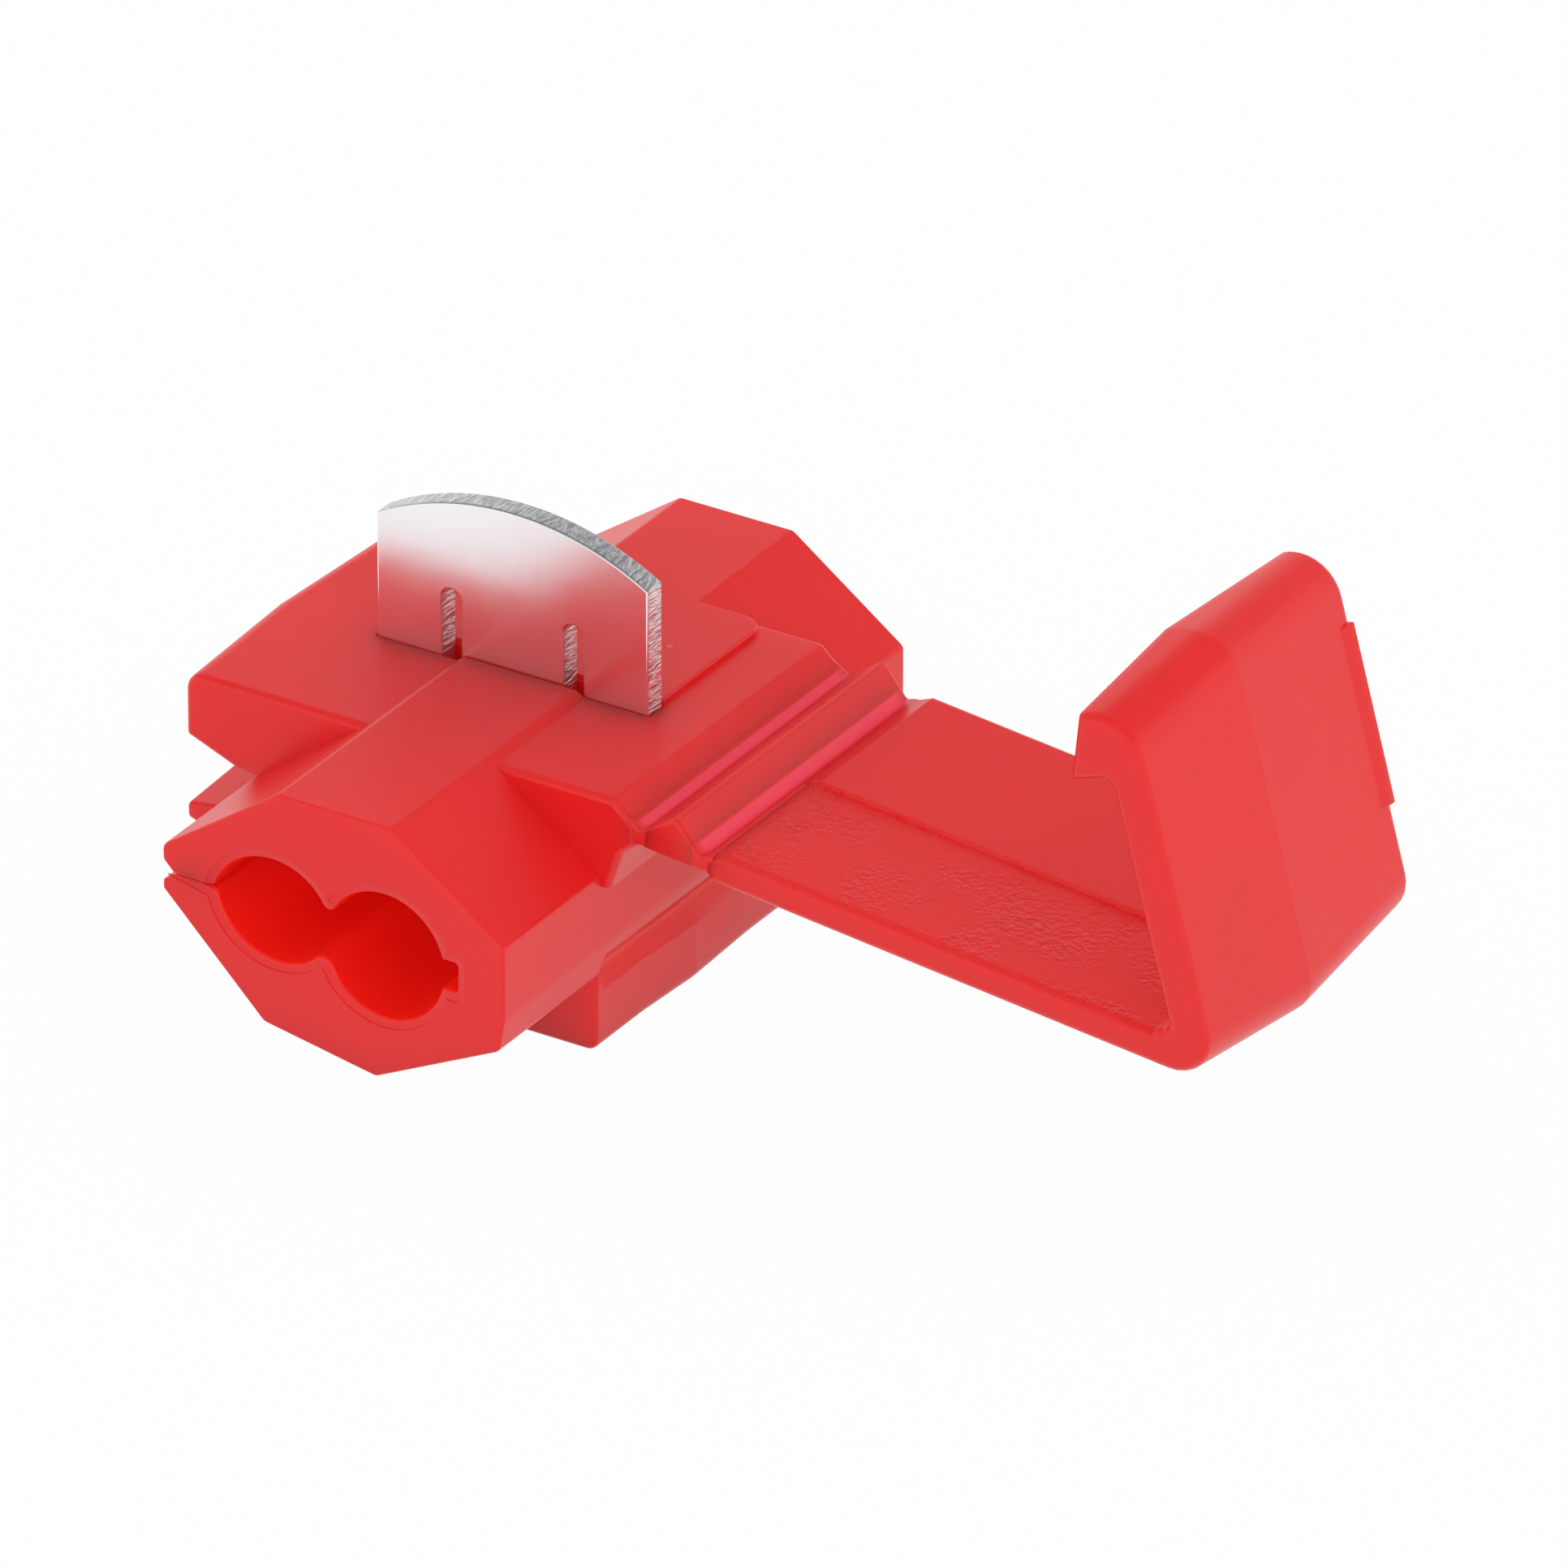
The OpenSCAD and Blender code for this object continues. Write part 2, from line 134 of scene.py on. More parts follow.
def end_stations(low, high, radius, extra=(), steps=5):
    """Places along an axis and how far the outline is drawn in at each: both ends follow a quarter circle,
    inset = r - sqrt(r^2 - (r - d)^2) at a distance d from the end."""
    d = radius * (1 - np.cos(np.linspace(0, math.pi / 2, steps)))
    mids = [m for m in extra if low + radius < m < high - radius]
    y = np.concatenate([low + d, mids, high - d[::-1]])
    away = np.minimum(np.minimum(y - low, high - y), radius)
    return y, radius - np.sqrt(np.maximum(radius**2 - (radius - away) ** 2, 0))


def swell(y):
    """How much further the drafted faces stand out than at the rear end: tan(draft) for each millimetre."""
    return (5.7 - np.abs(y - PARTING_Y)) * DRAFT


# ---- meshes ----

def mesh_object(name, grid):
    """Closed tube of quads through a (stations, points, 3) grid, with both ends filled. Its mesh is in millimetres
    until finish_surface, because cuts and fills need the larger numbers."""
    stations, points = grid.shape[:2]
    i = np.arange(points)
    rows = np.arange(stations - 1)[:, None] * points
    j = np.roll(i, -1)
    quads = np.stack([rows + i, rows + j, rows + points + j, rows + points + i], -1).reshape(-1, 4)
    last = (stations - 1) * points
    mesh = bpy.data.meshes.new(name)
    ends = [i[::-1].tolist(), (last + i).tolist()]
    mesh.from_pydata(grid.reshape(-1, 3).tolist(), [], quads.tolist() + ends)
    work = bmesh.new()
    work.from_mesh(mesh)
    bmesh.ops.remove_doubles(work, verts=work.verts, dist=2e-4)
    work.normal_update()
    bmesh.ops.triangulate(work, faces=[f for f in work.faces if len(f.verts) > 4])
    bmesh.ops.recalc_face_normals(work, faces=work.faces)
    work.to_mesh(mesh)
    work.free()
    obj = bpy.data.objects.new(name, mesh)
    bpy.context.scene.collection.objects.link(obj)
    return obj


def along_wires(corners, radii, y, inset, steps=7, lean=0.0, about=(0.0, 0.0)):
    """Grid of an outline carried along the wires and drawn in at each station, then turned by a lean and moved."""
    sides = np.broadcast_to(np.reshape(inset, (len(y), -1)), (len(y), np.shape(corners)[-2]))
    flat = turned(rounded(*drawn_in(corners, radii, sides), steps), lean) + about
    deep = np.broadcast_to(np.asarray(y)[:, None], flat.shape[:2])
    return np.stack([flat[..., 0], deep, flat[..., 1] + MID], -1)


def upright(corners, radii, z, inset, steps=7):
    """Grid of a plan outline carried upwards and drawn in at each station."""
    sides = np.broadcast_to(np.reshape(inset, (len(z), -1)), (len(z), len(corners)))
    flat = rounded(*drawn_in(corners, radii, sides), steps)
    high = np.broadcast_to(np.asarray(z)[:, None] + MID, flat.shape[:2])
    return np.concatenate([flat, high[..., None]], -1)


def apply_stack(obj):
    """Replaces an object's mesh by what its modifiers make of it."""
    bpy.context.view_layer.update()
    made = bpy.data.meshes.new_from_object(obj.evaluated_get(bpy.context.evaluated_depsgraph_get()))
    obj.modifiers.clear()
    obj.data = made


def combine(base, tool, operation):
    """Joins a tool to a base, or cuts it out, and removes the tool."""
    cut = base.modifiers.new("cut", "BOOLEAN")
    cut.operation, cut.solver, cut.object = operation, "MANIFOLD", tool
    apply_stack(base)
    bpy.data.objects.remove(tool)
    return base


def finish_surface(obj, material, angle=32):
    """Brings the mesh to metres, with sharp edges past an angle, normals weighted by face area, and the material."""
    work = bmesh.new()
    work.from_mesh(obj.data)
    bmesh.ops.remove_doubles(work, verts=work.verts, dist=1e-4)
    work.normal_update()
    bmesh.ops.triangulate(work, faces=[f for f in work.faces if len(f.verts) > 4])
    bmesh.ops.scale(work, vec=(MM, MM, MM), verts=work.verts)
    work.to_mesh(obj.data)
    work.free()
    obj.data.shade_smooth()
    obj.data.set_sharp_from_angle(angle=math.radians(angle))
    weighted = obj.modifiers.new("weighted normals", "WEIGHTED_NORMAL")
    weighted.keep_sharp = True
    weighted.weight = 100
    obj.data.materials.clear()
    obj.data.materials.append(material)
    return obj


# ---- the moulding's parts ----

def meet(c1, r1, c2, r2, side):
    """Point where two circles cross: a = (d^2 + r1^2 - r2^2) / 2d along the line of centres, then the height
    sqrt(r1^2 - a^2) to one side of it."""
    c1, c2 = np.array(c1), np.array(c2)
    d = np.linalg.norm(c2 - c1)
    along = (c2 - c1) / d
    a = (d * d + r1 * r1 - r2 * r2) / (2 * d)
    return c1 + a * along + side * math.sqrt(r1 * r1 - a * a) * np.array([-along[1], along[0]])


def bearing(centre, point):
    """Angle in degrees of a point seen from a centre."""
    return math.degrees(math.atan2(point[1] - centre[1], point[0] - centre[0]))


def sleeve_outline():
    """Section of the split sleeve: its eight sides outside, the two channels' arcs inside, and the lips that
    both meet at. Gives corners, radii and which of them belong to the channels."""
    run, jaw, tap = (-2.05, 0.15), (-1.90, 1.0), (1.5, 0.2)
    run_r, tap_r = 1.93, 1.85
    upper = meet(run, run_r, tap, tap_r, 1)
    lower = meet(jaw, run_r, tap, tap_r, -1)
    upper_end = (run[0] - math.sqrt(run_r**2 - (0.80 - run[1]) ** 2), 0.80)
    lower_end = (jaw[0] - math.sqrt(run_r**2 - (0.66 - jaw[1]) ** 2), 0.66)
    groove_x = tap[0] + math.sqrt(tap_r**2 - 0.425**2)
    hinge = (5.32, -0.6)
    jaw_side = turned([(-5.46, -1.6), (-1.8, -4.15), (1.8, -4.15), (5.32, -1.6)], math.radians(-10), hinge)
    parts = [
        ([(5.32, 1.6), (1.8, 4.15), (-1.8, 4.15), (-5.46, 1.6), (-5.46, 1.16), (-5.12, 0.81)],
         [0.22, 0.25, 0.25, 0.3, 0.24, 0.2], 0),
        ([upper_end], [0.1], 1),
        (arc_corners(run, run_r, bearing(run, upper_end), bearing(run, upper) + 11, 5), [run_r] * 5, 1),
        ([upper], [0.3], 1),
        (arc_corners(tap, tap_r, bearing(tap, upper) - 11, 13.3, 5), [tap_r] * 5, 1),
        ([(groove_x, 0.625), (3.8, 0.625), (3.8, -0.225), (groove_x, -0.225)], [0.06, 0.1, 0.1, 0.06], 1),
        (arc_corners(tap, tap_r, -13.3, bearing(tap, lower) + 14, 5), [tap_r] * 5, 1),
        ([lower], [0.5], 1),
        (arc_corners(jaw, run_r, bearing(jaw, lower) - 14, bearing(jaw, lower_end), 5), [run_r] * 5, 1),
        ([lower_end], [0.12], 1),
        ([(-4.2, 0.75), (-5.12, 0.76), (-5.46, 0.55)], [0.1, 0.15, 0.14], 0),
        (jaw_side, [0.16, 0.3, 0.3, 0.3], 0),
        ([hinge], [2.0], 0),
    ]
    corners = np.concatenate([np.asarray(c, float) for c, _, _ in parts])
    radii = np.concatenate([np.asarray(r, float) for _, r, _ in parts])
    inner = np.concatenate([np.full(len(r), float(w)) for _, r, w in parts])
    return corners, radii, inner


def sleeve_shell(sizes):
    """The sleeve: its section carried along the wires. The outside draws in by a quarter circle at both
    ends, and each channel widens there to a shallow ledge round its mouth."""
    corners, radii, inner = sleeve_outline()
    edge, lead = sizes.edge_radius / MM, sizes.lead_in / MM
    half = sizes.sleeve_length / MM / 2
    depth, width = lead * np.array([0.0, 0.14, 0.2, 0.38, 0.6]), lead * np.array([1.0, 0.96, 0.86, 0.14, 0.0])
    d = np.unique(np.concatenate([edge * (1 - np.cos(np.linspace(0, math.pi / 2, 6))), depth]).round(4))
    y = np.concatenate([-half + d, [-2.0, 2.0], half - d[::-1]])
    away = half - np.abs(y)
    outside = edge - np.sqrt(np.maximum(edge**2 - np.maximum(edge - away, 0) ** 2, 0))
    inside = np.interp(away, depth, width)
    inset = outside[:, None] * (1 - inner) + inside[:, None] * inner
    return mesh_object("housing_moulding", along_wires(corners, radii, y, inset))


def block_upper_shell(sizes):
    """The block's top: wing, shelf and the slope into the first fold. The wing's side follows the draft,
    so its x is a function of y, and both ends draw in by a quarter circle."""
    half = sizes.block_length / MM / 2
    y, inset = end_stations(-half, half, 0.2, (-2.8, PARTING_Y - 0.03, PARTING_Y, PARTING_Y + 0.03, 2.4))
    wing = -8.1 + np.abs(y - PARTING_Y) * DRAFT
    fixed = [(5.72, SHELF_H), (6.43, 3.34), (6.43, 2.76), (5.95, 2.38), (5.56, 1.2), (5.0, 1.1), (4.2, 1.7),
             (1.8, 3.2), (-1.8, 3.2), (-3.2, 2.6), (-4.6, 1.75), (-5.3, 1.35), (-6.35, 1.48)]
    radii = [0.12, 0.03, 0.1, 0.3, 0.1, 0.1, 0.1, 0.1, 0.1, 0.1, 0.1, 0.1, 0.3, 0.16, 0.55]
    corners = np.empty((len(y), len(fixed) + 2, 2))
    corners[:, :-2] = fixed
    corners[:, -2] = np.stack([wing, np.full(len(y), 2.06)], -1)
    corners[:, -1] = np.stack([wing, np.full(len(y), SHELF_H)], -1)
    return mesh_object("block_top", along_wires(corners[:, ::-1], radii[::-1], y, inset))


def block_lower_shell(sizes):
    """The block's lower half: lower wing, catch ledge, flat base and the foot flange.
    The wing's tip and the flange's outer face follow the draft."""
    half = sizes.block_length / MM / 2
    y, inset = end_stations(-half, half, 0.16, (-2.8, PARTING_Y - 0.03, PARTING_Y + 0.03, 2.4))
    out = np.abs(y - PARTING_Y) * DRAFT
    base = -MID
    fixed = [(-4.5, 0.35), (-4.7, 0.62), (-5.46, 0.34), (-8.1, 0.0), (-8.1, -0.45), (-6.55, -0.9), (-6.55, -2.95),
             (-5.65, base), (5.3, base), (5.3, -2.1), (5.18, -1.9), (5.18, -0.95), (4.5, -0.85), (3.9, -1.9),
             (0.6, -2.4), (-2.0, -1.7), (-3.7, -1.1)]
    radii = [0.1, 0.1, 0.3, 0.16, 0.16, 0.1, 0.3, 0.3, 0.35, 0.05, 0.05, 0.1, 0.1, 0.1, 0.1, 0.1, 0.1]
    corners = np.broadcast_to(np.array(fixed), (len(y), len(fixed), 2)).copy()
    corners[:, 3:5, 0] += out[:, None]
    corners[:, 8:10, 0] = flange_face(y)[:, None]
    return mesh_object("block_foot", along_wires(corners, radii, y, inset))


def flange_face(y):
    """How far out the foot flange's outer face stands: it follows the draft until it meets the end's own line."""
    return 5.28 - np.minimum(np.abs(y - PARTING_Y) * DRAFT, 0.12)


def cove_shell(sizes):
    """The hollow between the sleeve's wall and the foot flange, as the tool that cuts it: its section leaves
    the wall tangentially and comes out at the flange's upper edge. It closes in a quarter circle just behind
    the block's front face."""
    front = -sizes.block_length / MM / 2 + 0.14
    y, inset = end_stations(front, -front + 0.4, 0.3, (-2.8, PARTING_Y, 2.4), 9)
    section = [(6.2, -2.2), (6.2, -0.5), (5.335, -0.5), (5.245, -1.0), (4.86, -1.48), (5.34, -2.2)]
    corners = np.broadcast_to(np.array(section), (len(y), len(section), 2)).copy()
    corners[:, 5, 0] = flange_face(y) + 0.06
    radii = [0.1, 0.1, 0.02, 0.6, 0.3, 0.02]
    return mesh_object("cove", along_wires(corners, radii, y, np.where(y > 0, 0, inset)))


def mark_channel_glow(obj, sizes):
    """Point attribute for the painted glow: 1 inside the channels, where light only comes through the walls, 0.6 in the
    hollow over the foot flange and 0 elsewhere. Where it is high, the surface is painted a brighter red and glows, in
    place of that light."""
    co = np.empty(len(obj.data.vertices) * 3, np.float32)
    obj.data.vertices.foreach_get("co", co)
    x, y, z = (co.reshape(-1, 3) / MM).T
    h = z - MID
    near = [np.hypot(x - cx, h - ch) < r for cx, ch, r in ((-2.05, 0.15, 2.0), (-1.9, 1.0, 2.0), (1.5, 0.2, 1.92))]
    groove = (x > 3.0) & (x < 3.85) & (np.abs(h - 0.2) < 0.5)
    inside = (near[0] | near[1] | near[2] | groove) & (np.abs(y) < sizes.sleeve_length / MM / 2 - 0.08) & (np.abs(h) < 2.4)
    hollow = (np.hypot(x - 5.0, h + 1.4) < 0.27) & (np.abs(y) < sizes.block_length / MM / 2 - 0.3)
    value = np.where(inside, 1.0, np.where(hollow, 0.6, 0.0)).astype(np.float32)
    obj.data.attributes.new("painted_glow_mask", "FLOAT", "POINT").data.foreach_set("value", value)


def rear_pad_shell(sizes):
    """Raised pad behind the plate: its plan carried upwards, with a rounded top edge."""
    back = sizes.block_length / MM / 2 - 0.06
    plan = [(-4.6, -0.12), (4.0, -0.12), (4.0, back), (-4.6, back)]
    z, inset = end_stations(2.4, 4.15, 0.07)
    return mesh_object("rear_pad", upright(plan, [0.05, 0.05, 0.75, 0.05], z, np.where(z < 3, 0, inset)))


def slot_shell():
    """Slot for the plate, open at the block's top, with a softened mouth."""
    plan = [(-4.64, -0.83), (4.04, -0.83), (4.04, -0.07), (-4.64, -0.07)]
    z = np.array([-2.3, 3.9, 3.96, 4.02, 5.0])
    return mesh_object("slot", upright(plan, 0.03, z, [0, 0, -0.015, -0.04, -0.04]))


def blade_shell(sizes):
    """The contact plate: an arched outline with two open slots, carried through its thickness. The punch
    rolls over the front edges and leaves a small break on the rear ones."""
    w, pitch, slot = 4.3, 1.93, sizes.slot_width / MM / 2
    ends, crown = SHELF_H + 3.73, sizes.crown / MM
    arch = (w * w + crown * crown) / (2 * crown)
    lean = math.degrees(math.asin(w / arch))
    low, top = 2.28, SHELF_H + 2.05
    corners, radii = [], []
    for side in (-1, 1):
        x = side * pitch
        corners += [(x - 2 * slot, low), (x - slot, low + 1.0)]
        radii += [0.05, 0.3]
        corners += [(x - slot, top), (x + slot, top), (x + slot, low + 1.0), (x + 2 * slot, low)]
        radii += [slot * 0.98, slot * 0.98, 0.3, 0.05]
    corners += [(w, low), (w, ends)]
    radii += [0.08, 0.05]
    bow = arc_corners((0, ends + crown - arch), arch, 90 - lean, 90 + lean, 8)
    corners = np.array(corners + bow.tolist() + [(-w, ends), (-w, low)])
    radii = radii + [arch] * 8 + [0.05, 0.08]
    t = sizes.thickness / MM / 2
    y = np.array([-t, -t + 0.012, -t + 0.035, -t + 0.07, 0.2 * t, t - 0.04, t - 0.02, t]) + PARTING_Y
    inset = np.array([0.06, 0.03, 0.01, 0.0, 0.0, 0.004, 0.015, 0.03])
    return mesh_object("contact_blade", along_wires(corners - (0.3, 0), radii, y, inset))


def mark_sheared(obj):
    """Face attribute that is 1 on the punched sides: those whose normal is nearly across the thickness."""
    normal = np.empty(len(obj.data.polygons) * 3, np.float32)
    obj.data.polygons.foreach_get("normal", normal)
    mask = (np.abs(normal.reshape(-1, 3)[:, 1]) < 0.6).astype(np.float32)
    obj.data.attributes.new("sheared", "FLOAT", "FACE").data.foreach_set("value", mask)


def ridge_shell(sizes):
    """The ridge between the folds: a low trapezium carried along the block, leaning with the cover."""
    half = sizes.block_length / MM / 2
    local = [(0.14, -0.44), (LINK_LEN - 0.14, -0.44), (LINK_LEN - 0.14, 0.13), (1.13, 0.78), (0.97, 0.78), (0.14, 0.11)]
    y, inset = end_stations(-half, half, 0.12)
    radii = [0.08, 0.08, 0.05, 0.05, 0.05, 0.05]
    return mesh_object("hinge_ridge", along_wires(local, radii, y, inset, 7, -FALL, FOLD))


def web_shell(name, sizes, fold, lean, left, right, reach=0.42):
    """Living hinge: a strip under a fold. Its top is a groove between the neighbours' slopes L and R, the smooth
    maximum (L + R) / 2 + sqrt((L - R)^2 / 4 + e^2), which dips under them at its ends. Its underside is a
    shallow arch. Left and right give each slope and its height at the fold."""
    x = np.linspace(-reach, reach, 41)
    low, high = left[1] - left[0] * x, right[1] + right[0] * x
    top = (low + high) / 2 + np.sqrt((low - high) ** 2 / 4 + 0.045**2) - 0.075 * (x / reach) ** 4
    under = -0.43 + 0.05 * (x / reach) ** 2
    half = sizes.block_length / MM / 2
    y, inset = end_stations(-half + 0.02, half - 0.02, 0.1, np.linspace(-4.8, 4.8, 9))
    low = np.stack(np.broadcast_arrays(x, under + inset[:, None]), -1)
    high = np.stack(np.broadcast_arrays(x, top - inset[:, None]), -1)
    flat = turned(np.concatenate([low, high[:, ::-1]], 1), lean) + fold
    deep = np.broadcast_to(y[:, None], flat.shape[:2])
    return mesh_object(name, np.stack([flat[..., 0], deep, flat[..., 1] + MID], -1))


def mark_groove_light(obj):
    """Point attribute for painted light: 1 in the groove on top of a web, which is painted paler and glows in place of
    light, and 0 elsewhere.
    """
    co = np.empty(len(obj.data.vertices) * 3, np.float32)
    obj.data.vertices.foreach_get("co", co)
    x, y, z = (co.reshape(-1, 3) / MM).T
    middle = (x.min() + x.max()) / 2
    mask = ((z > z.min() + 0.25) & (np.abs(y) < 5.12) & (np.abs(x - middle) < 0.17)).astype(np.float32)
    obj.data.attributes.new("painted_groove_light", "FLOAT", "POINT").data.foreach_set("value", mask)


def cover_corners(grow, dip, crest, cover):
    """Corners of the cover's section at each station, in its own frame, for how far the outer faces stand out,
    how deep the recess is and how much higher the hook's top is there. The leg leans in, and the hook's top
    climbs to where its line meets the leg's outer face."""
    lean, climb, leg_t = cover.leg_lean, math.tan(math.radians(17)), 1.08
    root = np.array([14.6, 0.41])
    catch = root + 7.3 * np.array([-math.sin(lean), math.cos(lean)])
    low = root[1] - cover.panel_thickness / MM - grow
    face = root[0] + (leg_t + grow) / math.cos(lean) + root[1] * math.tan(lean)
    one = np.ones_like(grow)
    at = lambda x, h: np.stack([x * one, h * one], -1)
    tip_x, tip_h = catch[0] - 1.14 - grow, catch[1] + 1.54 + grow + crest
    far_x = (face - (tip_h - tip_x * climb) * math.tan(lean)) / (1 + climb * math.tan(lean))
    corners = [
        at(0.14, -0.42), at(0.5, low), at(face - low * math.tan(lean), low),
        at(far_x, tip_h + (far_x - tip_x) * climb), at(tip_x + 0.2, tip_h), at(tip_x, tip_h - 0.1),
        at(tip_x, catch[1] - 0.52), at(catch[0], catch[1]), at(*root),
        at(root[0] - 0.43, root[1]), at(root[0] - 0.55, root[1] - dip), at(0.84, root[1] - dip), at(0.14, 0.04),
    ]
    radii = [0.06, 0.25, cover.corner_radius / MM, 1.3, 0.15, 0.12, 0.12, 0.3, 0.35, 0.03, 0.03, 0.08, 0.04]
    return np.stack(corners, -2), radii


def cover_shell(sizes, cover):
    """The cover: panel, leg and hook as one section carried along the wires. Its outer faces stand out by
    tan(draft) up to the parting plane, and its inner face drops to the recess in front of that plane."""
    half = sizes.block_length / MM / 2
    y, inset = end_stations(-half, half, 0.26, (-2.8, PARTING_Y - 0.07, PARTING_Y, PARTING_Y + 0.03, 2.4), 7)
    dip = np.where(y < PARTING_Y - 0.01, cover.recess_depth / MM, 0.0)
    crest = np.interp(y, [-half, PARTING_Y, half], [0.0, 0.08, 0.3])
    corners, radii = cover_corners(swell(y), dip, crest, cover)
    return mesh_object("latch_cover", along_wires(corners, radii, y, inset, 9, -FALL, SECOND_FOLD))


def leg_strip_shell(cover):
    """Raised strip by the rear edge of the leg's outer face. It is a wedge that rises out of the drafted face:
    its height over the leg's line is a smooth step of y."""
    lean = cover.leg_lean
    up, out = np.array([-math.sin(lean), math.cos(lean)]), np.array([math.cos(lean), math.sin(lean)])
    y, inset = end_stations(4.3, 5.21, 0.04, np.linspace(4.4, 5.1, 8))
    k = np.clip((y - 4.4) / 0.75, 0, 1)
    face = 1.05 + swell(y) + 0.16 * k * k * (3 - 2 * k)
    start = np.array([14.6, 0.41]) + 2.1 * up + np.zeros((len(y), 2))
    corners = np.stack([start + 0.8 * out, start + face[:, None] * out,
                        start + face[:, None] * out + 5.2 * up, start + 0.8 * out + 5.2 * up], 1)
    return mesh_object("leg_strip", along_wires(corners, 0.05, y, inset, 4, -FALL, SECOND_FOLD))


def mark_stipple(obj):
    """Point attribute that is 1 on the recess of the panel's inner face and 0 elsewhere."""
    co = np.empty(len(obj.data.vertices) * 3, np.float32)
    obj.data.vertices.foreach_get("co", co)
    x, y, z = (co.reshape(-1, 3) / MM).T
    local = turned(np.stack([x, z - MID], -1) - SECOND_FOLD, FALL)
    inner = (np.abs(local[:, 1] - 0.29) < 0.05) & (local[:, 0] > 0.7) & (local[:, 0] < 14.2)
    mask = (inner & (y < PARTING_Y) & (y > -5.2)).astype(np.float32)
    obj.data.attributes.new("stipple", "FLOAT", "POINT").data.foreach_set("value", mask)


# ---- materials ----

def node(tree, kind, links=(), **settings):
    """A node with its settings, and its inputs linked from sockets or set to values."""
    made = tree.nodes.new(kind)
    for key, value in settings.items():
        setattr(made, key, value)
    for name, value in dict(links).items():
        if isinstance(value, bpy.types.NodeSocket):
            tree.links.new(value, made.inputs[name])
        else:
            made.inputs[name].default_value = value
    return made


def group(name, inputs, outputs):
    """An empty node group with named sockets: (name, socket kind, default)."""
    tree = bpy.data.node_groups.new(name, "ShaderNodeTree")
    for label, kind, value in inputs:
        tree.interface.new_socket(label, in_out="INPUT", socket_type=kind).default_value = value
    for label, kind in outputs:
        tree.interface.new_socket(label, in_out="OUTPUT", socket_type=kind)
    return tree, tree.nodes.new("NodeGroupInput").outputs, tree.nodes.new("NodeGroupOutput").inputs


def math_node(tree, operation, a, b=0.0, c=0.0):
    return node(tree, "ShaderNodeMath", {0: a, 1: b, 2: c}, operation=operation).outputs[0]


def ramp(tree, value, low, high):
    """Smooth mask that is 0 below low and 1 above high."""
    made = node(tree, "ShaderNodeMapRange", {"Value": value, "From Min": low, "From Max": high},
                interpolation_type="SMOOTHSTEP")
    return made.outputs["Result"]


def specks_group():
    """Sparse specks and scuffs: cells of a Voronoi pattern whose centre is near and whose number is high."""
    tree, inp, out = group("specks", [("Vector", "NodeSocketVector", (0, 0, 0)), ("Scale", "NodeSocketFloat", 500.0),
                                      ("Size", "NodeSocketFloat", 0.2), ("Share", "NodeSocketFloat", 0.1)],
                           [("Mask", "NodeSocketFloat")])
    cell = node(tree, "ShaderNodeTexVoronoi", {"Vector": inp["Vector"], "Scale": inp["Scale"]})
    near = math_node(tree, "LESS_THAN", cell.outputs["Distance"], inp["Size"])
    pick = node(tree, "ShaderNodeSeparateColor", {"Color": cell.outputs["Color"]})
    rare = math_node(tree, "LESS_THAN", pick.outputs[0], inp["Share"])
    tree.links.new(math_node(tree, "MULTIPLY", near, rare), out["Mask"])
    return tree


